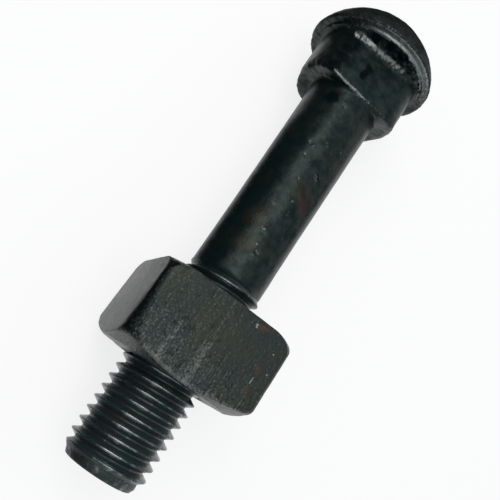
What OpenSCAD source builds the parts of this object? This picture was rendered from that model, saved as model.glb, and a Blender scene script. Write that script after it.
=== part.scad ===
// Railway track bolt with its square nut: round button head, oval neck, reduced shank and a
// rolled thread. The bolt lies along X, as it comes to rest. The origin is on its axis, in the
// plane of the bearing face under the head. The head is on the -X side and the thread ends on
// the +X side. +Z is up, the neck's long axis lies along Y, and two flats of the nut are level.

/* [Head] */
// Height of the head from its bearing face to the top of the crown
head_h = 12.5; // [8:0.1:18]
// How far the head reaches beyond the long ends of the neck
head_overhang = 3.2; // [2:0.05:6]
// Radius of the edge between the crown and the bearing face
head_edge_r = 0.6; // [0.4:0.1:1.6]
// Depth of the cone that runs from the bearing face to the flat sides of the neck
root_depth = 1.8; // [0.5:0.1:2.5]
// How far the cone's rim lies outside the long ends of the neck
root_margin = 0.45; // [0.1:0.05:0.8]

/* [Oval neck] */
// Length of the neck's oval, across the bolt
neck_long = 27.1; // [22:0.1:34]
// How far each flat side of the neck stands proud of the shank next to it
neck_step = 0.25; // [0.1:0.05:1.5]
// Depth of the neck below the bearing face
neck_depth = 12.8; // [6:0.1:20]
// Radius of the corners where the flat sides meet the round ends
neck_corner_r = 5.4; // [2:0.1:6]
// Radius of the neck's lower edge at its round ends
neck_edge_r = 1.8; // [0.5:0.1:3]

/* [Shank and thread] */
// Length of the bolt from its bearing face to its end
bolt_len = 114.3; // [90:0.1:180]
// Outside diameter of the thread
thread_d = 19.05; // [15:0.05:24]
// Length of the thread, with its run-out
thread_len = 48.3; // [36:0.1:80]
// Pitch of the thread, ten threads to the inch
pitch = 2.54; // [1.5:0.01:3]
// How far the plain shank lies below the crests of the rolled thread
shank_step = 0.67; // [0.3:0.01:1.2]
// How much larger the radius of the shank is where it meets the neck
shank_swell = 0.35; // [0.05:0.05:0.6]
// Length over which the shank tapers from the neck to its plain size
swell_len = 37; // [5:1:45]
// Length of the chamfered point
point_len = 3; // [1:0.1:5]
// How far the flat end of the point lies inside the crests
point_step = 1.8; // [0.8:0.1:3]

/* [Square nut] */
// Width of the nut across its flats
nut_w = 31.8; // [26:0.1:40]
// Thickness of the nut
nut_t = 19.35; // [12:0.05:26]
// Thread that shows between the nut and the shank, with its run-out
thread_behind_nut = 5.85; // [5.1:0.05:12]
// Radius of the nut's four long edges
nut_corner_r = 1.8; // [0.5:0.1:4]
// Radius of the soft corners at the bearing face, on the side of the head
nut_soft_r = 3.4; // [1:0.1:5]
// Angle of the chamfer on the outer face
nut_chamfer_angle = 22; // [15:1:40]
// How far the rim of the chamfer lies inside the flats
nut_face_inset = 0.4; // [0.1:0.1:2]
// Running clearance between the nut and the thread's crests, on the radius
nut_clearance = 0.05; // [0.02:0.01:0.09]
// Width of the countersink at each mouth of the nut's hole, on the radius
countersink = 1; // [0.3:0.1:1.5]

/* [Hidden] */
$fn = 96;

bolt_colour = "#2b2f31";
nut_colour = "#3b3c3a";

// How far one solid reaches into the next where they are forged as one
weld = 0.5;
// How far the arc of a rounded edge laps over the faces that it joins
arc_lap = 0.002;

neck_r = neck_long / 2;
head_r = neck_r + head_overhang;
thread_r = thread_d / 2;
shank_r = thread_r - shank_step;
point_r = thread_r - point_step;

// The crown and the edge of the head are two arcs that touch. The crown's radius follows from
// the head's size, and the arcs touch at touch_r, touch_h.
edge_centre_r = head_r - head_edge_r;
crown_rise = head_h - head_edge_r;
crown_reach_sq = pow(edge_centre_r, 2) + pow(crown_rise, 2) - pow(head_edge_r, 2);
crown_r = crown_reach_sq / (2 * (crown_rise - head_edge_r));
crown_centre = head_h - crown_r;
touch_scale = crown_r / (crown_r - head_edge_r);
touch_r = edge_centre_r * touch_scale;
touch_h = crown_centre + (head_edge_r - crown_centre) * touch_scale;

// The oval is a circle cut by two flat sides. A corner's arc touches both, so its centre lies a
// corner radius inside each of them.
neck_half = shank_r + shank_swell + neck_step;
corner_x = neck_half - neck_corner_r;
corner_y = sqrt(pow(neck_r - neck_corner_r, 2) - pow(corner_x, 2));
end_touch = [corner_x, corner_y] * neck_r / (neck_r - neck_corner_r);
side_touch = [neck_half, corner_y];

thread_start = bolt_len - thread_len;
runout_len = pitch;
grip = thread_start + thread_behind_nut;

// The nut is cut from a turned blank that reaches just past the square's rounded corners
nut_half = nut_w / 2;
nut_face_r = nut_half - nut_face_inset;
corner_reach = sqrt(2) * (nut_half - nut_corner_r) + nut_corner_r;
blank_margin = 0.15;
blank_r = corner_reach + blank_margin;
soft_centre_r = blank_r - nut_soft_r;
chamfer_drop = (blank_r - nut_face_r) * tan(nut_chamfer_angle);
bore_r = thread_r + nut_clearance;

// Turns a shape that stands on +Z to point along +X
module along_x() {
    rotate([0, 90, 0]) children();
}

// Half section of the head, with its bearing face on the X axis and the crown above
module head_section() {
    intersection() {
        translate([0, crown_centre]) circle(r = crown_r);
        translate([0, touch_h]) square([head_r, head_h]);
    }
    polygon([[0, 0], [edge_centre_r, 0], [edge_centre_r, head_edge_r], [touch_r, touch_h], [0, touch_h]]);
    intersection() {
        translate([edge_centre_r, head_edge_r]) circle(r = head_edge_r + arc_lap);
        translate([edge_centre_r, 0]) square([head_r, head_h]);
    }
}

module head() {
    mirror([1, 0, 0]) along_x() rotate_extrude() head_section();
}

// The cone under the head, from the bearing face to the neck's flat sides. Its slope runs on
// into the head by the weld's depth.
module root_cone() {
    rim_r = neck_r + root_margin;
    slope = (rim_r - shank_r) / root_depth;
    along_x() rotate_extrude() polygon([
        [0, -weld],
        [rim_r + slope * weld, -weld],
        [shank_r, root_depth],
        [0, root_depth]
    ]);
}

// Outline of the neck's flat sides and rounded corners, long along Y. It is open to the round
// ends, which it reaches past.
module flats_outline() {
    difference() {
        square([2 * neck_half, neck_long + 2 * weld], center = true);
        for (x = [0, 1], y = [0, 1]) mirror([x, 0]) mirror([0, y])
            polygon([end_touch, side_touch, [neck_long, corner_y], [neck_long, neck_long], 2 * end_touch]);
    }
    for (x = [-1, 1], y = [-1, 1])
        translate([x * corner_x, y * corner_y]) circle(r = neck_corner_r + arc_lap);
}

// Half section of the turned shape that gives the neck its round ends, with their soft lower edge
module neck_section() {
    edge_r = neck_r - neck_edge_r;
    translate([0, -weld]) square([neck_r, neck_depth - neck_edge_r + weld]);
    translate([0, -weld]) square([edge_r, neck_depth + weld]);
    translate([edge_r, neck_depth - neck_edge_r]) circle(r = neck_edge_r);
}

module oval_neck() {
    along_x() intersection() {
        translate([0, 0, -weld]) linear_extrude(neck_depth + 2 * weld) flats_outline();
        rotate_extrude() neck_section();
    }
}

// Tapered and plain shank, run-out of the thread, threaded length at its outside diameter, point
module shank() {
    along_x() rotate_extrude() polygon([
        [0, -weld],
        [shank_r, -weld],
        [shank_r + shank_swell, neck_depth - weld],
        [shank_r, neck_depth + swell_len],
        [shank_r, thread_start],
        [thread_r, thread_start + runout_len],
        [thread_r, bolt_len - point_len],
        [point_r, bolt_len],
        [0, bolt_len]
    ]);
}

module track_bolt() {
    color(bolt_colour) union() {
        head();
        root_cone();
        oval_neck();
        shank();
    }
}

// Outline of the nut, square with rounded corners
module nut_outline() {
    inner = nut_half - nut_corner_r;
    square([nut_w, 2 * inner], center = true);
    square([2 * inner, nut_w], center = true);
    for (x = [-1, 1], y = [-1, 1]) translate([x * inner, y * inner]) circle(r = nut_corner_r);
}

// Half section of the nut's turned blank, with its hole, countersinks, soft edge and chamfer
module nut_section() {
    polygon([
        [bore_r + countersink, 0],
        [soft_centre_r, 0],
        [blank_r, nut_soft_r],
        [blank_r, nut_t - chamfer_drop],
        [nut_face_r, nut_t],
        [bore_r + countersink, nut_t],
        [bore_r, nut_t - countersink],
        [bore_r, countersink]
    ]);
    intersection() {
        translate([soft_centre_r, nut_soft_r]) circle(r = nut_soft_r + arc_lap);
        translate([soft_centre_r, 0]) square(nut_soft_r + weld);
    }
}

module square_nut() {
    color(nut_colour) translate([grip, 0, 0]) along_x() intersection() {
        rotate_extrude() nut_section();
        translate([0, 0, -weld]) linear_extrude(nut_t + 2 * weld) nut_outline();
    }
}

track_bolt();
square_nut();
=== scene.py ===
"""Railway track bolt with its square nut, lying on its side on a white table."""

import math

import bmesh
import bpy
from mathutils import Matrix, Vector, noise


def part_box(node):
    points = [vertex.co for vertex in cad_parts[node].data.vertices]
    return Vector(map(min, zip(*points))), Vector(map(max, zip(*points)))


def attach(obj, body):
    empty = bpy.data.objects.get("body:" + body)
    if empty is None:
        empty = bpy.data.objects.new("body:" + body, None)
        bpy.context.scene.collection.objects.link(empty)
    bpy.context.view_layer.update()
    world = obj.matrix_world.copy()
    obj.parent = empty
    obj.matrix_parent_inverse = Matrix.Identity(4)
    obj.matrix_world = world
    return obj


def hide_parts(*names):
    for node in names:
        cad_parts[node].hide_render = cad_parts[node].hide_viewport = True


bl_info = {
    "name": "Railway track bolt",
    "version": (1, 0, 0),
    "blender": (4, 5, 0),
    "location": "3D View > Sidebar > Track bolt",
    "description": "Builds a blackened track bolt and its square nut on the loaded frame",
    "category": "Object",
}

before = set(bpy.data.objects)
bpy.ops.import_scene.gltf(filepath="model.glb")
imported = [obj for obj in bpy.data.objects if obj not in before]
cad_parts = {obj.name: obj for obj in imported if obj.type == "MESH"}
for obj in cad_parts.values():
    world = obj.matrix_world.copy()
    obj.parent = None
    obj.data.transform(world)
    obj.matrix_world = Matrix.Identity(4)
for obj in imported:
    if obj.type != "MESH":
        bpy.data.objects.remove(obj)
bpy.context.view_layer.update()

MM = 0.001

# Steps in one turn of a thread, columns round the bolt, and columns in an eighth of the nut
TURN_STEPS = 96
BOLT_COLUMNS = 240
NUT_COLUMNS = 44

# A sixty-degree thread: how far a flank runs along the axis for its height, and in pitches the
# depth and half the width of the flat crest
FLANK_RUN = math.tan(math.radians(30))
THREAD_DEPTH = 0.6134
HALF_CREST = 1 / 16

# How far before the run-out the shank's loft ends, so that it can be bridged to the spun thread
THREAD_JOIN = 0.5 * MM

# Sockets of a Mix node for its factor, the colour under, the colour over and the mixed colour
MIX_FACTOR, MIX_UNDER, MIX_OVER, MIX_COLOUR = 0, 6, 7, 2

# How bright the table looks to the camera by itself, where its lit colour adds the rest, and the
# middle of the bolt, which the lamp faces
TABLE_SHINE = 0.78
MIDDLE_X = 0.05

# Marks on the skin as a point and a radius, in millimetres: red stains of the bolt; dark oily stains of the
# bolt together with painted shade, in the neck's corners on its -Y side and in the hollow under the head;
# brown stains of the bolt; rust marks of the nut; and places where the nut is chipped bright
RED_MARKS = (((47.9, -3.2, 8.4), 0.8), ((44.6, 3.4, 8.3), 1.7), ((43.6, 2.6, 8.5), 1.2))
# The first four of these marks, in the neck's corners on its -Y side, and the last three, in the hollow under
# the head, are painted shade; the others are dark oily stains
OIL_AND_SHADE_MARKS = (
    ((3.5, -9.6, 8.8), 2.6), ((6.4, -8.8, 9.0), 2.8), ((9.2, -8.8, 9.0), 2.8), ((12.0, -9.4, 8.8), 2.4),
    ((7.0, -2.4, 9.4), 1.3), ((8.2, -2.6, 9.4), 1.1), ((9.4, -2.8, 9.4), 1.3), ((36.6, 1.6, 8.9), 0.7),
    ((17.5, -5.5, 7.6), 2.2), ((0.9, -6.0, 11.6), 1.7), ((0.9, -2.0, 12.8), 1.7), ((0.9, 1.6, 12.9), 1.9)
)
BROWN_MARKS = (((42.0, 1.3, 8.8), 3.0), ((52.5, -4.6, 7.6), 3.2), ((59.0, -3.6, 8.1), 3.0))
RUST_MARKS = (
    ((73.3, 6.9, 15.9), 0.8), ((73.15, 7.7, 15.9), 0.75), ((72.9, 8.6, 15.85), 0.5),
    ((80.4, 10.9, 15.9), 0.8), ((81.1, 11.4, 15.9), 0.6), ((85.0, 11.2, 15.9), 0.55),
    ((85.6, 11.5, 15.9), 0.5)
)
FLECKS = (
    ((73.4, 6.0, 15.9), 0.34), ((73.8, 6.15, 15.9), 0.26), ((76.3, 12.4, 15.9), 0.18),
    ((80.4, 13.5, 15.9), 0.22), ((89.2, 13.9, 15.9), 0.2), ((82.5, 11.3, 15.9), 0.16),
    ((82.8, 11.3, 15.9), 0.17), ((83.1, 11.28, 15.9), 0.18), ((83.4, 11.26, 15.9), 0.17),
    ((83.7, 11.25, 15.9), 0.15)
)

# Pits of the shank and neck: place along the bolt in mm, angle round it in degrees from +Y, radius
# and depth in mm. A pit of negative depth is a bump
PITS = (
    (36.6, 82, 1.0, 0.16), (37.4, 76.5, 0.8, 0.14), (36.2, 74, 0.6, -0.08), (28.5, 96, 0.7, -0.1),
    (29.4, 93, 0.6, 0.1), (30.7, 115, 0.8, 0.12), (31.2, 109, 0.6, -0.08), (33.9, 112, 0.8, 0.1),
    (39.8, 101, 0.6, 0.08), (45.2, 90, 0.7, 0.1), (47.9, 111, 0.7, 0.08), (54.0, 103, 0.9, -0.12),
    (54.9, 101, 0.7, 0.14), (57.9, 98, 0.8, -0.1), (59.4, 92, 1.0, 0.14), (60.3, 95, 0.7, -0.08),
    (62.8, 106, 0.6, 0.08), (17.8, 107, 0.8, -0.08), (18.6, 103, 0.6, 0.1), (27.6, 66.5, 0.9, 0.08),
    (7.0, 106, 1.4, 0.05), (8.8, 105.5, 1.3, 0.06), (52.0, 250, 1.1, 0.12),
    (24.0, 200, 0.9, 0.1), (41.0, 310, 1.0, 0.12)
)

# Places on the bolt's axis, from the frame
bolt_low, bolt_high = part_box("track_bolt")
nut_low, nut_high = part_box("square_nut")
CROWN_X = bolt_low.x
END_X = bolt_high.x
HEAD_R = bolt_high.y
NUT_X = nut_low.x
NUT_END_X = nut_high.x
NUT_HALF = nut_high.y


def length(name, description, millimetres):
    """A size in Blender's unit of length, with its default given in millimetres."""
    return bpy.props.FloatProperty(
        name=name, description=description, default=millimetres * MM, unit="LENGTH", precision=5
    )


def in_degrees(name, description, degrees):
    """An angle, with its default given in degrees."""
    return bpy.props.FloatProperty(
        name=name, description=description, default=math.radians(degrees), unit="ROTATION"
    )


def colour(name, description, code):
    """A colour with its default given as an sRGB hex code."""
    return bpy.props.FloatVectorProperty(
        name=name, description=description, default=linear(code), size=3, min=0, max=1, subtype="COLOR"
    )


def linear(code):
    """The linear value of an sRGB hex code."""
    parts = [int(code[i:i + 2], 16) / 255 for i in (1, 3, 5)]
    return [p / 12.92 if p <= 0.04045 else ((p + 0.055) / 1.055) ** 2.4 for p in parts]


class BoltSizes(bpy.types.PropertyGroup):
    """Sizes of the forged head and neck and of the rolled thread"""

    crown_edge: length("Crown edge", "Radius of the edge between the crown and the bearing face", 0.6)
    rim_r: length("Collar radius", "Radius of the low collar round the neck, on the bearing face", 14.75)
    collar_h: length("Collar height", "Height of the low collar on the bearing face", 0.55)
    lip_x: length("Lip", "Where the flat sides start below the bearing face, at their middle", 1.4)
    lip_tilt: in_degrees("Lip tilt", "How far the flat sides' start leans across the bolt", 4.4)
    root_fillet: length("Root fillet", "Radius of the hollow between the collar and the flat sides", 2)
    neck_r: length("Neck radius", "Radius of the neck's round ends", 13.55)
    neck_half: length("Neck half width", "Distance of the neck's flat sides from the axis", 9.455)
    neck_depth: length("Neck depth", "Depth of the neck below the bearing face", 12.8)
    neck_tilt: length("Neck tilt", "How much deeper the neck is on its +Y side than on its -Y side", 0.7)
    flat_depth: length("Flat depth", "How much deeper the neck is at its flat sides", 1.3)
    neck_corner_r: length("Neck corner", "Radius of the corners between flat sides and round ends", 5.4)
    neck_edge: length("Neck edge", "Radius of the neck's lower edge at its round ends", 1.8)
    sharp_edge: length("Sharp edge", "Radius left on the edges that the dies made sharp", 0.3)
    shank_r: length("Shank radius", "Radius of the plain shank", 8.855)
    shank_swell: length("Shank swell", "How much larger the shank's radius is at the neck", 0.35)
    swell_len: length("Swell length", "Length over which the shank tapers to its plain size", 37)
    shank_fillet: length("Shank fillet", "Radius of the fillet between neck and shank", 0.8)
    crest_r: length("Crest radius", "Outside radius of the thread", 9.525)
    pitch: length("Pitch", "Distance from one crest of the thread to the next", 2.54)
    thread_x: length("Thread start", "Where the run-out of the thread starts, from the bearing face", 66)
    runout: length("Run-out", "Length over which the groove reaches its full depth", 2.54)
    crest_x: length("Crest phase", "Place of a crest along the bolt, on its +Y side, less whole pitches", 1.6)
    point_len: length("Point", "Length of the chamfered point", 3)
    point_r: length("Point radius", "Radius of the point's flat end", 7.725)
    fill_r: length("Fill radius", "Radius to which the last groove is filled, clear of the nut", 8.26)
    fill_flank: length("Flank fill", "How far the fill raises the last groove's flanks", 0.1)
    unevenness: length("Unevenness", "How far the forged skin strays from the true form", 0.1)
    grit: length("Grit", "How far the fine grit of the forged skin stands up", 0.055)


class NutSizes(bpy.types.PropertyGroup):
    """Sizes of the square nut"""

    face_r: length("Face radius", "Radius of the flat ring on the outer face", 15.5)
    soft_r: length("Soft corners", "Radius of the soft corners at the bearing face", 3.4)
    soft_centre_r: length("Flat radius", "Radius of the flat part of the bearing face, at its corners", 18.49)
    corner_r: length("Corner radius", "Radius of the long edges", 1.6)
    worn_corner_r: length("Worn corner radius", "Radius of the worn long edge at the outer face", 3.2)
    slant: length("Slant", "How far the outer face leans back on its far side", 0.55)
    draft: length("Draft", "How far the far long edge draws in towards the bearing face", 0.4)
    sharp_edge: length("Sharp edge", "Radius left on the edges of the chamfers", 0.45)
    chamfer: in_degrees("Chamfer", "Angle of the chamfer on the outer face", 22)
    mouth_r: length("Mouth radius", "Radius of the countersink in each face", 10.575)
    minor_r: length("Minor radius", "Radius of the hole between the grooves of its thread", 8.4)
    clearance: length("Clearance", "Gap between the flanks of nut and bolt, along the axis", 0.12)
    unevenness: length("Unevenness", "How far the forged skin strays from the true form", 0.06)


class SteelColours(bpy.types.PropertyGroup):
    """Colours of the blackened steel"""

    bolt_cool: colour("Bolt, cool", "Oiled black oxide where it looks teal", "#101e20")
    bolt_warm: colour("Bolt, warm", "Oiled black oxide where it looks olive", "#1a201c")
    bolt_thread: colour("Bolt, thread", "Rolled skin of the thread, a bluer grey", "#2c3a3e")
    # Also the colour of the painted shade in the neck's corners and under the head
    bolt_oil_and_shade: colour("Bolt, oil", "Oil that stands in corners and stains, nearly black", "#070f13")
    bolt_brown: colour("Bolt, brown", "Brown haze of rust under the oil", "#33261c")
    bolt_scale: colour("Bolt, scale", "Dry scale on the head, a dull brown-grey", "#272828")
    # Painted shade on the nut's near long edge; also the dark colour of its pits
    nut_shade_and_pits: colour("Nut, oily", "Oil-black skin on the nut's near long edge", "#12181a")
    nut_cool: colour("Nut, cool", "Dry black oxide where it looks blue-grey", "#323737")
    nut_warm: colour("Nut, warm", "Dry black oxide where it looks olive", "#363731")
    oil_film: colour("Oil film", "Tint of what the oiled skin reflects, a little green", "#e8fff6")
    # Also shows where painted highlights are laid on the bolt
    bare: colour("Bare steel", "Steel that shows on rubbed edges, crests and scratches", "#a2a7a8")
    rust: colour("Rust", "Thin rust in spots", "#5a3a2a")
    stain: colour("Stain", "Dull red stain on the oiled skin", "#3f1f22")


class StagePlaces(bpy.types.PropertyGroup):
    """Where the camera stands and how it is turned"""

    station: length("Station", "Place of the camera along the bolt, from the bearing face", 97.28)
    distance: length("Distance", "Distance of the camera from the bolt's axis", 137.74)
    turn: in_degrees("Turn", "How far the camera is turned about the bolt from straight above", 16.79)
    pitch: in_degrees("Pitch", "How far the camera is tilted towards the head", 16.18)
    yaw: in_degrees("Yaw", "How far the camera is turned aside", -0.34)
    roll: in_degrees("Roll", "How far the bolt leans to the right in the picture", 33.74)
    lens: bpy.props.FloatProperty(
        name="Lens", description="Focal length on a sensor 36 mm wide", default=45.18, unit="CAMERA"
    )


def soft_path(corners, radii, steps, arc_steps=5):
    """Points along a path of straight stretches whose inner corners are rounded to their radii.

    steps has the number of parts of each stretch. A radius is cut to what its stretches hold, and
    a corner whose radius is 0 stays as it is.
    """
    corners = [Vector(corner) for corner in corners]
    arcs = []
    for before, corner, after, radius in zip(corners, corners[1:], corners[2:], radii):
        if not radius:
            arcs.append([corner])
            continue
        to_before = (before - corner).normalized()
        to_after = (after - corner).normalized()
        half = to_before.angle(to_after, math.pi) / 2
        room = 0.45 * min((before - corner).length, (after - corner).length)
        reach = min(radius / math.tan(half), room)
        start = corner + to_before * reach
        end = corner + to_after * reach
        centre = corner + (to_before + to_after).normalized() * reach / math.cos(half)
        arc = []
        for i in range(arc_steps + 1):
            spoke = (start - centre).lerp(end - centre, i / arc_steps)
            arc.append(centre + spoke.normalized() * (start - centre).length)
        arcs.append(arc)
    starts = [corners[0]] + [arc[-1] for arc in arcs]
    ends = [arc[0] for arc in arcs] + [corners[-1]]
    points = []
    for i, (start, end) in enumerate(zip(starts, ends)):
        points += [start.lerp(end, j / steps[i]) for j in range(steps[i])]
        points += arcs[i][:-1] if i < len(arcs) else [end]
    return points


def arc_points(centre, radius, start, end, steps):
    """Points of an arc in the section, from one angle to another, where 0 points along +X."""
    angles = [start + (end - start) * i / steps for i in range(steps + 1)]
    return [Vector((centre[0] + radius * math.cos(a), centre[1] + radius * math.sin(a))) for a in angles]


def place(vert, x, radius, angle):
    """Moves a vertex to a place along, off and round the axis."""
    vert.co = (x, radius * math.cos(angle), radius * math.sin(angle))


def grow_edges(bm, edges):
    """Extrudes edges in place and returns their new vertices and new edges."""
    grown = bmesh.ops.extrude_edge_only(bm, edges=edges)["geom"]
    verts = [part for part in grown if isinstance(part, bmesh.types.BMVert)]
    return verts, [part for part in grown if isinstance(part, bmesh.types.BMEdge)]


def loft(bm, angles, section, capped=False):
    """Lofts rings about the X axis and returns the edges of the first and the last ring.

    section(angle) gives the (x, radius) points of the column at that angle, one for each ring. A
    capped loft starts with a closed disc, whose middle lies on the axis.
    """
    column = bm.verts.layers.int.new("column")
    columns = [section(angle) for angle in angles]
    made = bmesh.ops.create_circle(
        bm, segments=len(angles), radius=1, cap_ends=capped, cap_tris=capped
    )["verts"]
    ring = [vert for vert in made if vert.co.length > 0.5]
    for vert in made:
        if vert not in ring:
            place(vert, columns[0][0].x, 0, 0)
    for vert in ring:
        vert[column] = round(math.atan2(vert.co.y, vert.co.x) / math.tau * len(angles)) % len(angles)
    in_ring = set(ring)
    edges = [edge for edge in bm.edges if in_ring.issuperset(edge.verts)]
    first = edges
    for k in range(len(columns[0])):
        if k:
            ring, edges = grow_edges(bm, edges)
        for vert in ring:
            point = columns[vert[column]][k]
            place(vert, point.x, point.y, angles[vert[column]])
    return first, edges


def spin_thread(bm, tooth, sizes, low_x, high_x):
    """Spins the (x, radius) points of one pitch into a right-hand thread, merged turn to turn.

    It has the bolt's pitch and the place of its crests, and reaches past low_x and high_x.
    """
    pitch = sizes.pitch
    turns = math.ceil((high_x - low_x) / pitch) + 3
    start_x = sizes.crest_x + math.floor((low_x - 2 * pitch - sizes.crest_x) / pitch) * pitch
    verts = [bm.verts.new((start_x + point.x, point.y, 0)) for point in tooth]
    edges = [bm.edges.new(pair) for pair in zip(verts, verts[1:])]
    bmesh.ops.spin(
        bm, geom=verts + edges, cent=(0, 0, 0), axis=(1, 0, 0), dvec=(pitch / TURN_STEPS, 0, 0),
        angle=math.tau, steps=TURN_STEPS
    )
    first_turn = bm.verts[:] + bm.edges[:] + bm.faces[:]
    for turn in range(1, turns):
        copy = bmesh.ops.duplicate(bm, geom=first_turn)["geom"]
        copied = [part for part in copy if isinstance(part, bmesh.types.BMVert)]
        bmesh.ops.translate(bm, verts=copied, vec=(pitch * turn, 0, 0))
    bmesh.ops.remove_doubles(bm, verts=bm.verts, dist=0.004 * MM)


def cut_ends(bm, low_x, high_x):
    """Cuts the mesh off square at two places along the axis."""
    for x, side in ((low_x, "clear_inner"), (high_x, "clear_outer")):
        geom = bm.verts[:] + bm.edges[:] + bm.faces[:]
        bmesh.ops.bisect_plane(
            bm, geom=geom, dist=0.001 * MM, plane_co=(x, 0, 0), plane_no=(1, 0, 0), **{side: True}
        )


def open_ring(bm, x):
    """The open edges that lie in the plane at x."""
    return [
        edge for edge in bm.edges
        if edge.is_boundary and all(abs(vert.co.x - x) < 0.01 * MM for vert in edge.verts)
    ]


def polar(co):
    """Radius and angle of a point about the axis."""
    return math.hypot(co.y, co.z), math.atan2(co.z, co.y)


def smooth(value, low, high):
    """0 below low, 1 above high, with a smooth rise between."""
    t = min(max((value - low) / (high - low), 0), 1)
    return t * t * (3 - 2 * t)


def arc_reach(direction, centre, radius):
    """Distance from the axis to an arc's far side, in the direction given."""
    along = direction.dot(centre)
    return along + math.sqrt(max(along ** 2 - centre.length_squared + radius ** 2, 0))


def neck_reach(sizes, angle):
    """Radius of the neck's oval at an angle. The flat sides are square to Z."""
    direction = Vector((abs(math.cos(angle)), abs(math.sin(angle))))
    spread = sizes.neck_r - sizes.neck_corner_r
    centre_z = sizes.neck_half - sizes.neck_corner_r
    centre = Vector((math.sqrt(spread ** 2 - centre_z ** 2), centre_z))
    slope = direction.y / max(direction.x, 1e-9)
    if slope < centre.y / centre.x:
        return sizes.neck_r
    if slope > sizes.neck_half / centre.x:
        return sizes.neck_half / direction.y
    return arc_reach(direction, centre, sizes.neck_corner_r)


def tooth_section(pitch, crest_r, root_r, crest_half):
    """One pitch of a sixty-degree thread, from root to root, with its crest at 0."""
    half = pitch / 2
    root_edge = crest_half + (crest_r - root_r) * FLANK_RUN
    corners = [
        (-half, root_r), (-root_edge, root_r), (-crest_half, crest_r),
        (crest_half, crest_r), (root_edge, root_r), (half, root_r)
    ]
    root_edge_r = 0.35 * MM
    crest_edge_r = 0.25 * MM
    radii = [root_edge_r, crest_edge_r, crest_edge_r, root_edge_r]
    return soft_path(corners, radii, [1] * 5, arc_steps=2)


def wave(co, grain, stretch=1):
    """Uneven waves about zero, as long as the grain and stretched along the bolt."""
    return noise.noise(Vector((co.x / stretch, co.y, co.z)) / grain)


def near(value, centre, width):
    """1 at the centre and 0 beyond the width, with a smooth fall between."""
    return 1 - smooth(abs(value - centre), 0, width)


def forged_skin(bm, stray):
    """Moves each point along its normal by what stray(co) gives, as a forged skin has it."""
    bm.normal_update()
    moves = [(vert, vert.normal * stray(vert.co)) for vert in bm.verts]
    for vert, move in moves:
        vert.co += move


def set_layer(bm, name, value):
    """Stores a value of the skin at each point as an attribute, which the materials read."""
    layer = bm.verts.layers.float.new(name)
    for vert in bm.verts:
        vert[layer] = value(vert.co)


def keep_inside(bm, low, high):
    """Presses whatever stands out of a node's box back to its sides."""
    for vert in bm.verts:
        vert.co = [min(max(at, low[i]), high[i]) for i, at in enumerate(vert.co)]


def mesh_object(bm, name, material):
    """Turns a mesh into an object of the scene with its material."""
    mesh = bpy.data.meshes.new(name)
    bm.to_mesh(mesh)
    bm.free()
    mesh.materials.append(material)
    made = bpy.data.objects.new(name, mesh)
    bpy.context.scene.collection.objects.link(made)
    return made


def finish_piece(bm, name, body, node, material):
    """Turns a mesh into a smooth piece that rides on a body and stands for a node."""
    bmesh.ops.recalc_face_normals(bm, faces=bm.faces)
    open_edges = sum(not edge.is_manifold for edge in bm.edges)
    if open_edges:
        raise RuntimeError(f"{name} has {open_edges} open edges")
    piece = mesh_object(bm, name, material)
    piece.data.shade_smooth()
    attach(piece, body)
    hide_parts(node)
    return piece


def lip_place(sizes, y, side):
    """Where a flat side starts below the bearing face. It leans across the bolt."""
    return sizes.lip_x - y * math.tan(sizes.lip_tilt) * math.copysign(1, side)


def neck_end(sizes, angle):
    """Depth of the neck, which is deeper at its flat sides and a little aslant."""
    aside = math.cos(angle)
    at_flat = smooth(abs(math.sin(angle)), 0.2, 0.9)
    return sizes.neck_depth + 0.5 * sizes.neck_tilt * aside + sizes.flat_depth * at_flat * (1 - 0.3 * aside)


def bolt_section(sizes, angle):
    """Points from the crown to the thread's start, at one angle round the bolt."""
    edge = sizes.crown_edge
    rise = -CROWN_X - edge
    edge_r = HEAD_R - edge
    crown_r = (edge_r ** 2 + rise ** 2 - edge ** 2) / (2 * (rise - edge))
    centre_x = CROWN_X + crown_r
    lean = math.atan2(edge_r, centre_x + edge)
    crown = arc_points((centre_x, 0), crown_r, math.pi - 0.02, math.pi - lean, 24)
    rim = arc_points((-edge, edge_r), edge, math.pi - lean, 0, 8)
    reach = neck_reach(sizes, angle)
    collar = sizes.collar_h
    on_flat = smooth(abs(reach * math.sin(angle)), 6.5 * MM, 8.5 * MM)
    root_x = collar + 0.25 * (sizes.rim_r - reach)
    root_x += (lip_place(sizes, reach * math.cos(angle), math.sin(angle)) - root_x) * on_flat
    blunt = 1 - smooth(abs(math.sin(angle)), 0.1, 0.9)
    lower_edge = 2 * sizes.sharp_edge + (sizes.neck_edge - 2 * sizes.sharp_edge) * blunt
    swollen_r = sizes.shank_r + sizes.shank_swell
    flatness = 1 - smooth(reach - sizes.neck_half, 0, 1.5 * MM)
    depth = neck_end(sizes, angle)
    wall_end = depth - 0.5 * MM * flatness
    step_end = depth + 0.4 * MM * flatness
    lip_end = root_x + 3.8 * MM
    taper_end = sizes.neck_depth + sizes.swell_len
    corners = [
        (0, edge_r), (0, sizes.rim_r + 0.4 * collar), (collar, sizes.rim_r), (root_x, reach),
        (lip_end, reach), (wall_end, reach), (step_end, swollen_r), (taper_end, sizes.shank_r),
        (sizes.thread_x - THREAD_JOIN, sizes.shank_r)
    ]
    collar_edge = 0.5 * sizes.sharp_edge
    radii = [collar_edge, collar_edge, sizes.root_fillet, 0, lower_edge, sizes.shank_fillet, 0]
    steps = [5, 2, 8, 8, 13, 4, 104, 42]
    return crown + rim[1:-1] + soft_path(corners, radii, steps, arc_steps=7)


def cone_r(sizes, x):
    """Radius of the point's cone at a place on the axis."""
    return sizes.point_r + (END_X - x) * (sizes.crest_r - sizes.point_r) / sizes.point_len


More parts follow.
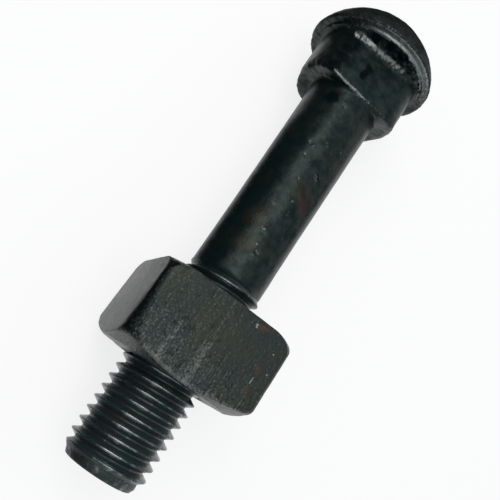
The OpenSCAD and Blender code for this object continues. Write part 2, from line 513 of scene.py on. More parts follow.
def thread_r(sizes, x, radius):
    """Radius of the spun thread once it grows out of the shank and is pressed flat at the point.

    The last groove is partly filled, but no further than the nut's thread leaves room for.
    """
    grown = smooth(x, sizes.thread_x, sizes.thread_x + sizes.runout)
    radius = sizes.shank_r + (radius - sizes.shank_r) * grown
    point_r = min(cone_r(sizes, x), sizes.crest_r)
    filled = 0.6 * (1 - smooth(END_X - x, 1.4 * MM, 3.4 * MM))
    room = max(sizes.fill_r, radius + sizes.fill_flank)
    return min(radius + (point_r - radius) * filled, room, point_r)


def build_bolt(sizes, material):
    """The bolt's thread is spun, cut to length and closed, and the rest lofted up to it."""
    bm = bmesh.new()
    pitch = sizes.pitch
    tooth = tooth_section(pitch, sizes.crest_r, sizes.crest_r - THREAD_DEPTH * pitch, HALF_CREST * pitch)
    spin_thread(bm, tooth, sizes, sizes.thread_x, END_X)
    for vert in bm.verts:
        radius, angle = polar(vert.co)
        place(vert, vert.co.x, thread_r(sizes, vert.co.x, radius), angle)
    edge = sizes.sharp_edge
    start_x = sizes.thread_x - 0.8 * THREAD_JOIN
    cut_ends(bm, start_x, END_X - edge)
    rim_r = cone_r(sizes, END_X - edge)
    end_face = [
        (END_X - 0.3 * edge, rim_r - 0.3 * edge), (END_X, rim_r - edge), (END_X, 0.75 * rim_r),
        (END_X, 0.5 * rim_r), (END_X, 0.25 * rim_r)
    ]
    edges = open_ring(bm, END_X - edge)
    for x, radius in end_face:
        ring, edges = grow_edges(bm, edges)
        for vert in ring:
            place(vert, x, radius, polar(vert.co)[1])
    bmesh.ops.pointmerge(bm, verts=ring, merge_co=(END_X, 0, 0))
    angles = [math.tau * i / BOLT_COLUMNS for i in range(BOLT_COLUMNS)]
    last = loft(bm, angles, lambda angle: bolt_section(sizes, angle), capped=True)[1]
    bmesh.ops.bridge_loops(bm, edges=last + open_ring(bm, start_x))
    bmesh.ops.recalc_face_normals(bm, faces=bm.faces)

    set_layer(bm, "wear_and_highlights", lambda co: bolt_wear_and_highlights(sizes, co))
    set_layer(bm, "dryness", lambda co: bolt_dryness(sizes, co))
    lumps(bm)
    forged_skin(bm, lambda co: bolt_stray(sizes, co))
    keep_inside(bm, bolt_low, bolt_high)
    return finish_piece(bm, "bolt_body", "bolt", "track_bolt", material)


def bolt_stray(sizes, co):
    """The head and neck are rough, the shank is smoother and pitted, and the thread is nearly true."""
    radius, angle = polar(co)
    on_shank = smooth(co.x, sizes.neck_depth, sizes.neck_depth + 3 * MM)
    on_thread = smooth(co.x, sizes.thread_x - 3 * MM, sizes.thread_x)
    broad = sizes.unevenness * (1 - 0.6 * on_shank) * (1 - 0.8 * on_thread)
    move = broad * (wave(co, 8 * MM) + 0.6 * wave(co, 3 * MM))
    grit = sizes.grit * (1 - 0.75 * on_shank) * (1 - 0.5 * on_thread)
    if co.x < 1.2 * MM and radius > sizes.rim_r - 0.3 * MM:
        grit *= 2
        move += 2.5 * sizes.grit * near(radius, sizes.rim_r, 0.9 * MM) * wave(co, 0.8 * MM)
    if abs(co.x - neck_end(sizes, angle)) < 1.5 * MM and radius > sizes.shank_r + 0.7 * MM:
        grit *= 2
    move += grit * (wave(co, 1.3 * MM) + 0.5 * wave(co, 0.7 * MM))
    if 0 < co.x < 4 * MM and radius < sizes.rim_r:
        lip = near(co.x, lip_place(sizes, co.y, co.z) + 0.1 * MM, 1.3 * MM)
        lip *= smooth(abs(co.z), 7 * MM, 8.5 * MM)
        move += 10 * sizes.grit * lip * (wave(co, 0.6 * MM, 3) + 0.5 * wave(co, 1.6 * MM))
    return move - pitted(co, radius, angle)[0]


def pitted(co, radius, angle):
    """Depth of the pits at a point, and how near it is to the middle of one."""
    depth = closest = 0
    for x, turn, size, deep in PITS:
        if abs(co.x - x * MM) < size * MM:
            across = (math.degrees(angle) - turn + 180) % 360 - 180
            close = near(math.hypot(co.x - x * MM, math.radians(across) * radius), 0, size * MM)
            depth += deep * MM * close
            closest = max(closest, close)
    return depth, closest


def bolt_wear_and_highlights(sizes, co):
    """The ring under the head, the neck's edges, the thread's crests and the point are rubbed. Painted
    highlights are added the same way: on the crests along a band facing the camera, on the ring's upper side,
    inner rim and right side, along the rough line where the flat sides start, and on the left of the neck's
    lower edge.
    """
    radius, angle = polar(co)
    if co.x > sizes.thread_x:
        crest = smooth(radius, sizes.crest_r - 0.4 * MM, sizes.crest_r - 0.05 * MM)
        point = smooth(co.x, END_X - sizes.point_len, END_X - 0.5 * sizes.point_len)
        # Crests are lighter along a band facing the camera: painted highlight
        highlight_band = near(math.degrees(angle), 106, 40)
        return max((0.14 + 0.34 * highlight_band) * crest, 0.13 * point)
    if co.x < -0.1 * MM:
        return 0.1
    if co.x < 1.2 * MM and radius > sizes.rim_r - 0.5 * MM:
        # The ring is rubbed, and lighter on its upper side, along its inner rim facing the camera and on its
        # right: painted highlight
        right = near(math.degrees(angle), 22, 26)
        upper = smooth(math.sin(angle), 0.4, 0.9)
        inner = near(radius, sizes.rim_r + 0.2 * MM, 0.8 * MM) * near(math.degrees(angle), 92, 42)
        return 0.05 + 0.4 * upper + 0.34 * inner + 0.14 * right
    wear_and_highlights = 0
    if co.x > sizes.neck_depth:
        wear_and_highlights = 0.24 * pitted(co, radius, angle)[1]
    if co.x < 4 * MM:
        across = smooth(abs(co.z), 8.2 * MM, 9 * MM) * (1 - smooth(co.y, 4 * MM, 6.5 * MM))
        across *= 1 - smooth(abs(co.z), 9.9 * MM, 11.2 * MM)
        # The rough line where the flat sides start: rubbed flash, lighter still as a painted highlight
        strokes = 0.62 + 0.6 * wave(co, 0.6 * MM, 3)
        wear_and_highlights = strokes * near(co.x, lip_place(sizes, co.y, co.z), 1.1 * MM) * across
    elif radius > sizes.neck_half - 0.3 * MM and co.x > 0.7 * sizes.neck_depth:
        on_flat = smooth(abs(co.z), 8.6 * MM, 9.2 * MM)
        # The lower edge of the flat sides is lighter on the left: painted highlight
        left = 1 - smooth(co.y, -2 * MM, 3 * MM)
        edge = near(co.x, neck_end(sizes, angle) - 0.45 * MM, 0.7 * MM)
        wear_and_highlights = max(wear_and_highlights, edge * on_flat * (0.12 + 0.32 * left))
    return wear_and_highlights


def bolt_dryness(sizes, co):
    """The head and the thread's roots are dry, the neck's underside and the point half dry."""
    radius, angle = polar(co)
    head = 1 - smooth(co.x, -0.4 * MM, 0.4 * MM)
    under = near(co.x, neck_end(sizes, angle), 1.2 * MM)
    under *= smooth(radius, sizes.neck_half, sizes.neck_half + 2 * MM)
    point = smooth(co.x, END_X - sizes.point_len, END_X - 0.7 * sizes.point_len)
    root_r = sizes.crest_r - 0.6 * sizes.pitch
    root = 0
    if co.x > sizes.thread_x + 1 * MM:
        root = 1 - smooth(radius, root_r + 0.1 * MM, root_r + 0.5 * MM)
    return max(head, 0.5 * under, 0.8 * point, 0.6 * root)


def lumps(bm):
    """Pushes metal out and down where the forging dies left the head's rim full."""
    for vert in bm.verts:
        radius, angle = polar(vert.co)
        if vert.co.x > 1 * MM or radius < 14 * MM:
            continue
        outer = smooth(radius, 14 * MM, 16 * MM)
        right = near(math.degrees(angle), -8, 38)
        left = near(math.degrees(angle), -140, 22)
        lower = smooth(vert.co.x, -1.5 * MM, 0)
        place(vert, vert.co.x + MM * outer * lower * (0.7 * right + 0.25 * left),
              radius + 0.3 * MM * outer * right, angle)


def square_reach(angle, corner_r):
    """Radius of the nut's rounded square at an angle."""
    half = NUT_HALF
    direction = Vector((abs(math.cos(angle)), abs(math.sin(angle))))
    if direction.y > direction.x:
        direction = direction.yx
    if direction.y / direction.x < (half - corner_r) / half:
        return half / direction.x
    return arc_reach(direction, Vector((half - corner_r, half - corner_r)), corner_r)


def nut_angles(sizes, per_eighth):
    """Angles that lie close together at the nut's corners."""
    half = NUT_HALF
    inner = half - sizes.corner_r
    on_side = round(0.5 * per_eighth)
    eighth = [math.atan2(inner * i / on_side, half) for i in range(on_side)]
    for i in range(per_eighth - on_side):
        turn = math.pi / 4 * i / (per_eighth - on_side)
        across = inner + sizes.corner_r * math.sin(turn)
        eighth.append(math.atan2(across, inner + sizes.corner_r * math.cos(turn)))
    quarter = eighth + [math.pi / 4] + [math.pi / 2 - angle for angle in reversed(eighth[1:])]
    return [angle + i * math.pi / 2 for i in range(4) for angle in quarter]


def nut_section(sizes, angle):
    """Points of the nut's outside from one mouth to the other, at one angle."""
    worn = math.cos(angle) < 0 < math.sin(angle)
    reach = square_reach(angle, sizes.corner_r)
    worn_reach = square_reach(angle, sizes.worn_corner_r if worn else 1.2 * sizes.corner_r)
    mouth = sizes.mouth_r + 0.2 * MM
    face_end = min(reach, sizes.soft_centre_r) - 2 * MM
    soft_corner = []
    for i in range(9):
        radius = face_end + (reach - face_end) * i / 8
        past = max(radius - sizes.soft_centre_r, 0)
        soft_corner.append((NUT_X + sizes.soft_r - math.sqrt(sizes.soft_r ** 2 - past ** 2), radius))
    chamfer_x = NUT_END_X - (worn_reach - sizes.face_r) * math.tan(sizes.chamfer)
    edge = sizes.sharp_edge
    corner_edge = edge + 3 * edge * smooth(reach - NUT_HALF, 3 * MM, 5 * MM)
    long_edge = []
    for along, wear in ((0.3, 0.05), (0.45, 0.25), (0.6, 0.55), (0.72, 0.85)):
        long_edge.append((NUT_X + along * (NUT_END_X - NUT_X), reach + (worn_reach - reach) * wear))
    outer_face = [(chamfer_x, worn_reach), (NUT_END_X, sizes.face_r), (NUT_END_X, mouth)]
    corners = [(NUT_X, mouth)] + soft_corner + long_edge + outer_face
    radii = [0] * 8 + [edge, 0, 0, 0, 0, corner_edge, 2 * edge]
    steps = [5] + [1] * 8 + [6, 8, 6, 5, 6, 5, 5]
    return soft_path(corners, radii, steps)


def build_nut(sizes, bolt, material):
    """The nut's thread is spun and cut to length, and its outside is lofted and joined to it."""
    bm = bmesh.new()
    groove_r = bolt.crest_r + 0.1 * MM
    groove_flank = (groove_r - sizes.minor_r) * FLANK_RUN
    bolt_half = (bolt.crest_r - sizes.minor_r) * FLANK_RUN + HALF_CREST * bolt.pitch
    groove_half = bolt_half + sizes.clearance - groove_flank
    tooth = tooth_section(bolt.pitch, groove_r, sizes.minor_r, groove_half)
    spin_thread(bm, tooth, bolt, NUT_X, NUT_END_X)
    for vert in bm.verts:
        radius, angle = polar(vert.co)
        from_mouth = min(vert.co.x - NUT_X, NUT_END_X - vert.co.x)
        place(vert, vert.co.x, max(radius, sizes.mouth_r - from_mouth), angle)
    cut_ends(bm, NUT_X, NUT_END_X)
    mouths = [open_ring(bm, NUT_X), open_ring(bm, NUT_END_X)]
    outside = loft(bm, nut_angles(sizes, NUT_COLUMNS), lambda angle: nut_section(sizes, angle))
    for mouth, ring in zip(mouths, outside):
        bmesh.ops.bridge_loops(bm, edges=mouth + ring)
    bmesh.ops.recalc_face_normals(bm, faces=bm.faces)

    set_layer(bm, "wear_and_highlights", lambda co: nut_rub(sizes, co))
    # The oil attribute holds painted shade on the near long edge
    set_layer(bm, "oil", lambda co: nut_edge_shade(sizes, co))
    lean_nut(bm, sizes)
    forged_skin(bm, lambda co: nut_stray(sizes, co))
    keep_inside(bm, nut_low, nut_high)
    return finish_piece(bm, "nut_body", "nut", "square_nut", material)


def lean_nut(bm, sizes):
    """Leans the outer face back on its far side, and draws the far long edge in at the bearing face."""
    for vert in bm.verts:
        outer = smooth(polar(vert.co)[0], sizes.mouth_r + 1 * MM, sizes.mouth_r + 4 * MM)
        along = (vert.co.x - NUT_X) / (NUT_END_X - NUT_X)
        far = (1 - vert.co.z / NUT_HALF) / 2
        drawn = sizes.draft * (1 - smooth(along, 0, 0.8)) * smooth(-vert.co.y, 0, NUT_HALF)
        vert.co.x -= sizes.slant * outer * far * smooth(along, 0.4, 1)
        vert.co.y += outer * drawn * far
        vert.co.z += outer * drawn * smooth(-vert.co.z, 0, NUT_HALF)


def nut_stray(sizes, co):
    """The outside is rough and the threaded hole is true."""
    outer = smooth(polar(co)[0], sizes.mouth_r, sizes.mouth_r + 2 * MM)
    return sizes.unevenness * outer * (wave(co, 8 * MM) + 0.5 * wave(co, 2.5 * MM) + 0.4 * wave(co, 1.1 * MM))


def nut_edge_shade(sizes, co):
    """Painted shade on the worn long edge at -Y and +Z, up to the chamfer."""
    off_side = smooth(co.y + NUT_HALF, 0.05 * MM, 0.2 * MM)
    off_top = smooth(NUT_HALF - co.z, 0.02 * MM, 0.12 * MM)
    chamfer_x = (polar(co)[0] - sizes.face_r) * math.tan(sizes.chamfer)
    before = smooth(NUT_END_X - co.x - chamfer_x, 0, 0.4 * MM)
    return off_side * off_top * before if co.y < -0.7 * NUT_HALF and co.z > 0.7 * NUT_HALF else 0


def nut_rub(sizes, co):
    """The chamfer's edge and a band of scratches on the upper side are rubbed."""
    on_side = max(abs(co.y), abs(co.z)) > NUT_HALF - 0.3 * MM
    wear_and_highlights = 0.02 + 0.06 * smooth(co.x, NUT_X + 6 * MM, NUT_END_X)
    wear_and_highlights += 0.035 * (1 - smooth(co.y, -4 * MM, 9 * MM))
    if on_side and co.z > 0:
        band = near(co.y, -0.4 * MM, 1.5 * MM) + 0.5 * near(co.y, -7.5 * MM, 1.5 * MM)
        wear_and_highlights += 0.13 * band * smooth(co.x, NUT_X + 8 * MM, NUT_X + 12 * MM)
        chamfer_x = (polar(co)[0] - sizes.face_r) * math.tan(sizes.chamfer)
        wear_and_highlights += 0.16 * near(NUT_END_X - co.x, chamfer_x, 0.8 * MM)
        outer_end = smooth(co.x, NUT_X + 9 * MM, NUT_END_X - 4 * MM)
        wear_and_highlights += 0.07 * near(co.y, sizes.corner_r - NUT_HALF, 0.6 * MM) * outer_end
    return wear_and_highlights


def add_node(tree, kind, inputs=(), output=0, **settings):
    """Adds a node with its settings, fills or links its inputs, and gives one of its outputs.

    kind is the node's type without ShaderNode. inputs has values or other nodes' outputs, as a list
    in the order of the sockets or as a dictionary by their names or places.
    """
    node = tree.nodes.new("ShaderNode" + kind)
    for key, value in settings.items():
        setattr(node, key, value)
    for key, value in inputs.items() if isinstance(inputs, dict) else enumerate(inputs):
        if isinstance(value, bpy.types.NodeSocket):
            tree.links.new(value, node.inputs[key])
        else:
            node.inputs[key].default_value = value
    return node.outputs[output] if node.outputs else None


def new_material(name):
    """An empty material and its node tree."""
    material = bpy.data.materials.new(name)
    material.use_nodes = True
    material.node_tree.nodes.clear()
    return material, material.node_tree


def per_metre(millimetres):
    """Scale of a pattern whose features are this far apart."""
    return 1 / (millimetres * MM)


def layered(tree, skin, layers):
    """A colour with others laid over it, each by its own mask."""
    for mask, over in layers:
        inputs = {MIX_FACTOR: mask, MIX_UNDER: skin, MIX_OVER: (*over, 1)}
        skin = add_node(tree, "Mix", inputs, MIX_COLOUR, data_type="RGBA")
    return skin


def spots(tree, place_on, ragged_by, marks):
    """A mask of ragged spots. Each mark is a point on the object and a radius, in millimetres."""
    mask = 0
    for centre, radius in marks:
        point = [at * MM for at in centre]
        off = add_node(tree, "VectorMath", [place_on, point], "Value", operation="DISTANCE")
        ragged = add_node(tree, "Math", [ragged_by, 1.1 * radius * MM], operation="MULTIPLY")
        edge = add_node(tree, "Math", [off, ragged], operation="ADD")
        spot = add_node(tree, "MapRange", [edge, 1.05 * radius * MM, 1.6 * radius * MM, 1, 0])
        mask = add_node(tree, "Math", [mask, spot], operation="MAXIMUM")
    return mask


def steel_skin(material, colours, skin, skin_inputs, worn, dullness, bump):
    """A dark skin that is rubbed through to bare steel where worn says so."""
    tree = material.node_tree
    coat = add_node(tree, "BsdfPrincipled", {"Base Color": skin, "Normal": bump, **skin_inputs})
    bare = add_node(
        tree, "BsdfPrincipled",
        {"Base Color": (*colours.bare, 1), "Metallic": 1, "Roughness": dullness, "Normal": bump}
    )
    mixed = add_node(tree, "MixShader", [worn, coat, bare])
    add_node(tree, "OutputMaterial", {"Surface": mixed})
    return material


def oiled_black_oxide(colours, sizes):
    """Forged and rolled steel with an oiled black oxide skin: near black, teal or olive by patches.

    The oil film gives a soft gloss, dry scale dulls the head, and rubbed edges show bright steel.
    """
    material, tree = new_material("oiled_black_oxide_steel")
    place_on = add_node(tree, "TexCoord", output="Object")
    along = add_node(tree, "SeparateXYZ", [place_on])
    # The attribute read here holds wear and painted highlights, both shown as bare steel
    wear_and_highlights = add_node(tree, "Attribute", output="Fac", attribute_name="wear_and_highlights")
    dryness = add_node(tree, "Attribute", output="Fac", attribute_name="dryness")
    on_thread = add_node(tree, "MapRange", [along, sizes.thread_x, sizes.thread_x + 6 * MM])

    # Clouds of oxide are 9 mm wide and patches of oil 2.2 mm. Scale has a grit of about 0.1 mm,
    # drawn at 0.45 mm so that it shows. Rolling leaves swells of 1.6 mm and streaks of 2.6 mm
    clouds = add_node(tree, "TexNoise", {"Vector": place_on, "Scale": per_metre(9), "Detail": 3})
    patches = add_node(tree, "TexNoise", {"Vector": place_on, "Scale": per_metre(2.2), "Detail": 3})
    grit = add_node(tree, "TexNoise", {"Vector": place_on, "Scale": per_metre(0.45), "Detail": 4})
    swells = add_node(tree, "TexNoise", {"Vector": place_on, "Scale": per_metre(1.6), "Detail": 2})
    squeezed = add_node(tree, "Mapping", {"Vector": place_on, "Scale": (1.6, 1, 1)})
    streaks = add_node(tree, "TexNoise", {"Vector": squeezed, "Scale": per_metre(2.6), "Detail": 3})

    # Where the skin is olive, brown, scaly, red, or black with oil or with painted shade
    patchy = add_node(tree, "Math", [patches, 0.7], operation="MULTIPLY")
    cloudy = add_node(tree, "Math", [clouds, patchy], operation="ADD")
    olive = add_node(tree, "MapRange", [cloudy, 0.8, 1.1])
    brown = spots(tree, place_on, patches, BROWN_MARKS)
    brown = add_node(tree, "Math", [brown, 0.6], operation="MULTIPLY")
    flakes = add_node(tree, "MapRange", [patches, 0.35, 0.6, 0.3, 1])
    scaly = add_node(tree, "Math", [dryness, flakes], operation="MULTIPLY")
    red = add_node(tree, "MapRange", [streaks, 0.5, 0.64, 0, 0.4])
    red = add_node(tree, "Math", [red, on_thread], operation="MULTIPLY")
    red = add_node(tree, "Math", [red, spots(tree, place_on, grit, RED_MARKS)], operation="MAXIMUM")
    red = add_node(tree, "Math", [red, 0.7], operation="MULTIPLY")
    # Dark oily stains, and painted shade in the neck's corners and under the head, in the oil colour
    dark = spots(tree, place_on, patches, OIL_AND_SHADE_MARKS)
    oil = add_node(tree, "Math", [dark, 0.75], operation="MULTIPLY")
    skin = layered(tree, (*colours.bolt_cool, 1), (
        (olive, colours.bolt_warm), (brown, colours.bolt_brown), (on_thread, colours.bolt_thread),
        (scaly, colours.bolt_scale), (red, colours.stain), (oil, colours.bolt_oil_and_shade)
    ))

    # The forged skin wears through grain by grain, and the thread in long smooth stretches
    grain = add_node(tree, "MapRange", [on_thread, 0, 1, grit, swells])
    rubbed = add_node(tree, "Math", [grain, wear_and_highlights], operation="ADD")
    worn = add_node(tree, "MapRange", [rubbed, 0.66, 1.04])
    dullness = add_node(tree, "MapRange", [on_thread, 0, 1, 0.5, 0.24])

    lumps_high = add_node(tree, "Math", [patches, 0.8], operation="MULTIPLY")
    height = add_node(tree, "Math", [grit, lumps_high], operation="ADD")
    bump = add_node(tree, "Bump", {"Height": height, "Strength": 0.6, "Distance": 0.1 * MM})

    gloss = add_node(tree, "MapRange", [patches, 0.35, 0.65, 0.2, 0.53])
    rolled = add_node(tree, "Math", [on_thread, 0.15], operation="MULTIPLY")
    gloss = add_node(tree, "Math", [gloss, rolled], operation="ADD")
    # Gloss is taken away on the oil stains and on the painted shade
    clear_of_oil_and_shade = add_node(tree, "MapRange", [dark, 0, 1, 1, 0.12])
    gloss = add_node(tree, "Math", [gloss, clear_of_oil_and_shade], operation="MULTIPLY")

    roughness = add_node(tree, "MapRange", [patches, 0.35, 0.65, 0.3, 0.4])
    smoother = add_node(tree, "Math", [on_thread, 0.14], operation="MULTIPLY")
    roughness = add_node(tree, "Math", [roughness, smoother], operation="SUBTRACT")
    dry = add_node(tree, "Math", [dryness, 0.6], operation="MULTIPLY")
    roughness = add_node(tree, "Math", [roughness, dry], operation="MAXIMUM")
    inputs = {
        "Roughness": roughness,
        "Specular IOR Level": gloss,
        "Specular Tint": (*colours.oil_film, 1),
        "IOR": 1.5,
    }
    return steel_skin(material, colours, skin, inputs, worn, dullness, bump)


def dry_black_oxide(colours):
    """Forged steel with a dry black oxide skin: dark grey with a fine dull tooth and light scratches."""
    material, tree = new_material("dry_black_oxide_steel")
    place_on = add_node(tree, "TexCoord", output="Object")
    wear_and_highlights = add_node(tree, "Attribute", output="Fac", attribute_name="wear_and_highlights")
    # The oil attribute holds painted shade on the near long edge
    oil = add_node(tree, "Attribute", output="Fac", attribute_name="oil")

    # Clouds of oxide are 12 mm wide and the pits of scale 1.1 mm. The grit is about 0.1 mm and drawn
    # at 0.5 mm, and scratches are about 0.1 mm wide and drawn at 0.32 mm, so that they show
    clouds = add_node(tree, "TexNoise", {"Vector": place_on, "Scale": per_metre(12), "Detail": 3})
    grit = add_node(tree, "TexNoise", {"Vector": place_on, "Scale": per_metre(0.5), "Detail": 4})
    tooth = add_node(tree, "TexNoise", {"Vector": place_on, "Scale": per_metre(1.1), "Detail": 3})
    drawn_out = add_node(tree, "Mapping", {"Vector": place_on, "Scale": (0.05, 1, 1)})
    scratches = add_node(
        tree, "TexNoise", {"Vector": drawn_out, "Scale": per_metre(0.32), "Detail": 2}
    )

    # Where the skin is olive, dark with painted shade on the near long edge, rusty or pitted
    olive = add_node(tree, "MapRange", [clouds, 0.42, 0.58])
    rusty = spots(tree, place_on, grit, RUST_MARKS)
    rusty = add_node(tree, "Math", [rusty, 0.8], operation="MULTIPLY")
    pits = add_node(tree, "MapRange", [tooth, 0.36, 0.44, 1, 0])
    open_to_pits = add_node(tree, "MapRange", [wear_and_highlights, 0.03, 0.1, 0.15, 0.7])
    pits = add_node(tree, "Math", [pits, open_to_pits], operation="MULTIPLY")
    pitted_dark = add_node(tree, "Math", [pits, 0.8], operation="MULTIPLY")
    skin = layered(tree, (*colours.nut_cool, 1), (
        (olive, colours.nut_warm), (oil, colours.nut_shade_and_pits), (rusty, colours.rust),
        (pitted_dark, colours.nut_shade_and_pits)
    ))

    # The skin wears through by grains and along scratches, and is gone where it is chipped
    grains = add_node(tree, "Math", [grit, 0.7], operation="MULTIPLY")
    lines = add_node(tree, "Math", [scratches, 0.3], operation="MULTIPLY")
    rubbed = add_node(tree, "Math", [grains, lines], operation="ADD")
    rubbed = add_node(tree, "Math", [rubbed, wear_and_highlights], operation="ADD")
    worn = add_node(tree, "MapRange", [rubbed, 0.6, 0.84, 0, 0.45])
    worn = add_node(tree, "Math", [worn, spots(tree, place_on, grit, FLECKS)], operation="MAXIMUM")

    tooth_high = add_node(tree, "Math", [tooth, 1.2], operation="MULTIPLY")
    lines_high = add_node(tree, "Math", [scratches, 0.4], operation="MULTIPLY")
    height = add_node(tree, "Math", [grit, tooth_high], operation="ADD")
    height = add_node(tree, "Math", [height, lines_high], operation="ADD")
    bump = add_node(tree, "Bump", {"Height": height, "Strength": 0.8, "Distance": 0.13 * MM})

    gloss = add_node(tree, "MapRange", [clouds, 0.4, 0.6, 0.25, 0.34])
    clear_of_pits = add_node(tree, "MapRange", [pits, 0, 1, 1, 0.1])
    inputs = {
        "Roughness": add_node(tree, "MapRange", [grit, 0.3, 0.7, 0.28, 0.42]),
        "Specular IOR Level": add_node(tree, "Math", [gloss, clear_of_pits], operation="MULTIPLY"),
        "Specular Tint": (*colours.oil_film, 1),
        "IOR": 1.5,
    }
    bare_roughness = 0.5
    return steel_skin(material, colours, skin, inputs, worn, bare_roughness, bump)


def matt_card(name, code):
    """Matt card of a plain colour, which reflections show as a darker side of the room."""
    material, tree = new_material(name)
    shader = add_node(tree, "BsdfDiffuse", {"Color": (*linear(code), 1)})
    add_node(tree, "OutputMaterial", {"Surface": shader})
    return material


def white_table():
    """A plain white painted table, which the camera and reflections see as white, with its shadow."""
    material, tree = new_material("white_table")
    seen = add_node(tree, "LightPath", output="Is Camera Ray")
    for ray in ("Is Glossy Ray", "Is Transmission Ray"):
        also_seen = add_node(tree, "LightPath", output=ray)
        seen = add_node(tree, "Math", [seen, also_seen], operation="MAXIMUM")
    shine = add_node(tree, "Math", [seen, TABLE_SHINE], operation="MULTIPLY")
    shader = add_node(
        tree, "BsdfPrincipled",
        {"Base Color": (*linear("#959595"), 1), "Roughness": 0.9, "Specular IOR Level": 0.1,
         "Emission Color": (1, 1, 1, 1), "Emission Strength": shine}
    )
    add_node(tree, "OutputMaterial", {"Surface": shader})
    return material


def add_lamp(name, location, size, power, tint):
    """A soft rectangular lamp that faces the bolt's middle."""
    lamp = bpy.data.lights.new(name, "AREA")
    lamp.shape = "RECTANGLE"
    lamp.size, lamp.size_y = size
    lamp.energy = power
    lamp.color = tint
    holder = bpy.data.objects.new(name, lamp)
    towards = Vector((MIDDLE_X, 0, 0)) - Vector(location)
    holder.location = location
    holder.rotation_euler = towards.to_track_quat("-Z", "Y").to_euler()
    bpy.context.scene.collection.objects.link(holder)
    return holder


class OBJECT_OT_track_bolt(bpy.types.Operator):
    """Adds the bolt with its round head, oval neck, shank and rolled thread"""

    bl_idname = "object.add_track_bolt"
    bl_label = "Track bolt"

    def execute(self, context):
        scene = context.scene
        build_bolt(scene.bolt_sizes, oiled_black_oxide(scene.steel_colours, scene.bolt_sizes))
        return {"FINISHED"}


class OBJECT_OT_square_nut(bpy.types.Operator):
    """Adds the square nut with its chamfered outer face and threaded hole"""

    bl_idname = "object.add_square_nut"
    bl_label = "Square nut"

    def execute(self, context):
        scene = context.scene
        build_nut(scene.nut_sizes, scene.bolt_sizes, dry_black_oxide(scene.steel_colours))
        return {"FINISHED"}


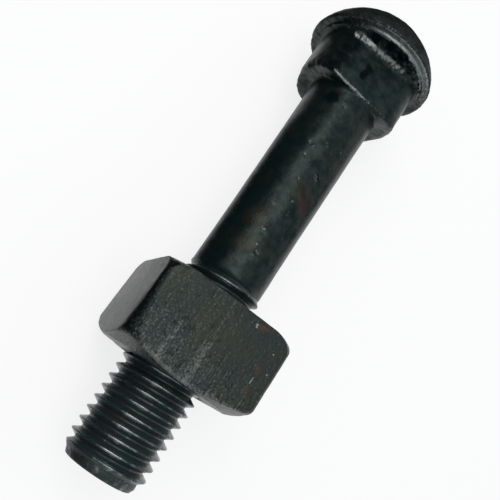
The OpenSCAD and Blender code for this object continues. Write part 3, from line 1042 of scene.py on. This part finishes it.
class SCENE_OT_photo_stage(bpy.types.Operator):
    """Adds the camera, the white table, the cards and the soft lamp"""

    bl_idname = "scene.add_photo_stage"
    bl_label = "Stage"

    def execute(self, context):
        scene = context.scene
        places = scene.stage_places
        self.add_camera(scene, places)
        self.add_table()
        self.add_cards()
        self.add_light(scene)
        return {"FINISHED"}

    def add_camera(self, scene, places):
        """Turns the camera about the bolt's axis, then tilts it towards the head."""
        camera = bpy.data.cameras.new("camera")
        camera.sensor_width = 36
        camera.lens = places.lens
        holder = bpy.data.objects.new("camera", camera)
        scene.collection.objects.link(holder)
        sine, cosine = math.sin(places.turn), math.cos(places.turn)
        outwards = Vector((0, -sine, cosine))
        head_up = Matrix(((0, -1, 0), (cosine, 0, -sine), (sine, 0, cosine))).to_4x4()
        at = Vector((places.station, 0, 0)) + outwards * places.distance
        holder.matrix_world = (
            Matrix.Translation(at) @ head_up @ Matrix.Rotation(places.yaw, 4, "Y")
            @ Matrix.Rotation(places.pitch, 4, "X") @ Matrix.Rotation(places.roll, 4, "Z")
        )
        scene.camera = holder

    def add_table(self):
        """A wide round table under the bolt's head and nut, with a cove that rises all round it."""
        bm = bmesh.new()
        middle = Matrix.Translation((MIDDLE_X, 0, bolt_low.z))
        bmesh.ops.create_circle(bm, cap_ends=True, segments=96, radius=2, matrix=middle)
        edges = bm.edges[:]
        about = Matrix.Translation((-MIDDLE_X, 0, 0))
        for widen, lift in ((1.06, 0.02), (1.05, 0.08), (1.02, 0.15), (1, 0.35)):
            ring, edges = grow_edges(bm, edges)
            bmesh.ops.scale(bm, verts=ring, vec=(widen, widen, 1), space=about)
            bmesh.ops.translate(bm, verts=ring, vec=(0, 0, lift))
        bmesh.ops.recalc_face_normals(bm, faces=bm.faces)
        table = mesh_object(bm, "table", white_table())

    def add_cards(self):
        """A black card along the left side and behind the head, and a low grey one on the right."""
        self.add_card("black_card", "#0a0a0a", [
            (0.17, -0.027, 0.042), (0.068, -0.027, 0.042), (0.062, -0.019, 0.042), (0.018, -0.019, 0.042),
            (0.012, -0.03, 0.062), (-0.02, -0.03, 0.062), (-0.034, -0.02, 0.062), (-0.036, 0.03, 0.042)
        ])
        self.add_card("grey_card", "#404242", [(-0.035, 0.08, 0.033), (0.05, 0.08, 0.033)])

    def add_card(self, name, code, path):
        """A card that stands on the table along a path of X, Y and height, seen by reflections only."""
        bm = bmesh.new()
        verts = [bm.verts.new((x, y, bolt_low.z)) for x, y, _ in path]
        edges = [bm.edges.new(pair) for pair in zip(verts, verts[1:])]
        heights = {vert.co.xy.to_tuple(5): height for vert, (_, _, height) in zip(verts, path)}
        for vert in grow_edges(bm, edges)[0]:
            vert.co.z += heights[vert.co.xy.to_tuple(5)]
        card = mesh_object(bm, name, matt_card(name, code))
        card.visible_camera = False
        card.visible_diffuse = False
        card.visible_shadow = False

    def add_light(self, scene):
        """A long soft lamp above and a dim even room."""
        add_lamp("lamp_above", (-0.05, -0.1, 0.46), (0.2, 0.6), 0.9, linear("#fffcf6"))
        world = bpy.data.worlds.new("room")
        world.use_nodes = True
        tree = world.node_tree
        tree.nodes.clear()
        room = add_node(tree, "Background", {"Color": (*linear("#a5abad"), 1), "Strength": 1})
        add_node(tree, "OutputWorld", {"Surface": room})
        scene.world = world
        scene.view_settings.view_transform = "Standard"


class VIEW3D_PT_track_bolt(bpy.types.Panel):
    """Lists the sizes and the operators"""

    bl_label = "Track bolt"
    bl_space_type = "VIEW_3D"
    bl_region_type = "UI"
    bl_category = "Track bolt"

    def draw(self, context):
        layout = self.layout
        for name, group in GROUPS.items():
            box = layout.box()
            box.label(text=group.__doc__)
            for key in group.__annotations__:
                box.prop(getattr(context.scene, name), key)
        for operator in OPERATORS:
            layout.operator(operator.bl_idname)


GROUPS = {
    "bolt_sizes": BoltSizes,
    "nut_sizes": NutSizes,
    "steel_colours": SteelColours,
    "stage_places": StagePlaces,
}
OPERATORS = (SCENE_OT_photo_stage, OBJECT_OT_track_bolt, OBJECT_OT_square_nut)


def register():
    for group in GROUPS.values():
        bpy.utils.register_class(group)
    for name, group in GROUPS.items():
        setattr(bpy.types.Scene, name, bpy.props.PointerProperty(type=group))
    for operator in OPERATORS:
        bpy.utils.register_class(operator)
    bpy.utils.register_class(VIEW3D_PT_track_bolt)


def unregister():
    bpy.utils.unregister_class(VIEW3D_PT_track_bolt)
    for operator in reversed(OPERATORS):
        bpy.utils.unregister_class(operator)
    for name in GROUPS:
        delattr(bpy.types.Scene, name)
    for group in reversed(GROUPS.values()):
        bpy.utils.unregister_class(group)


def main():
    register()
    bpy.ops.scene.add_photo_stage()
    bpy.ops.object.add_track_bolt()
    bpy.ops.object.add_square_nut()


if __name__ == "__main__":
    main()
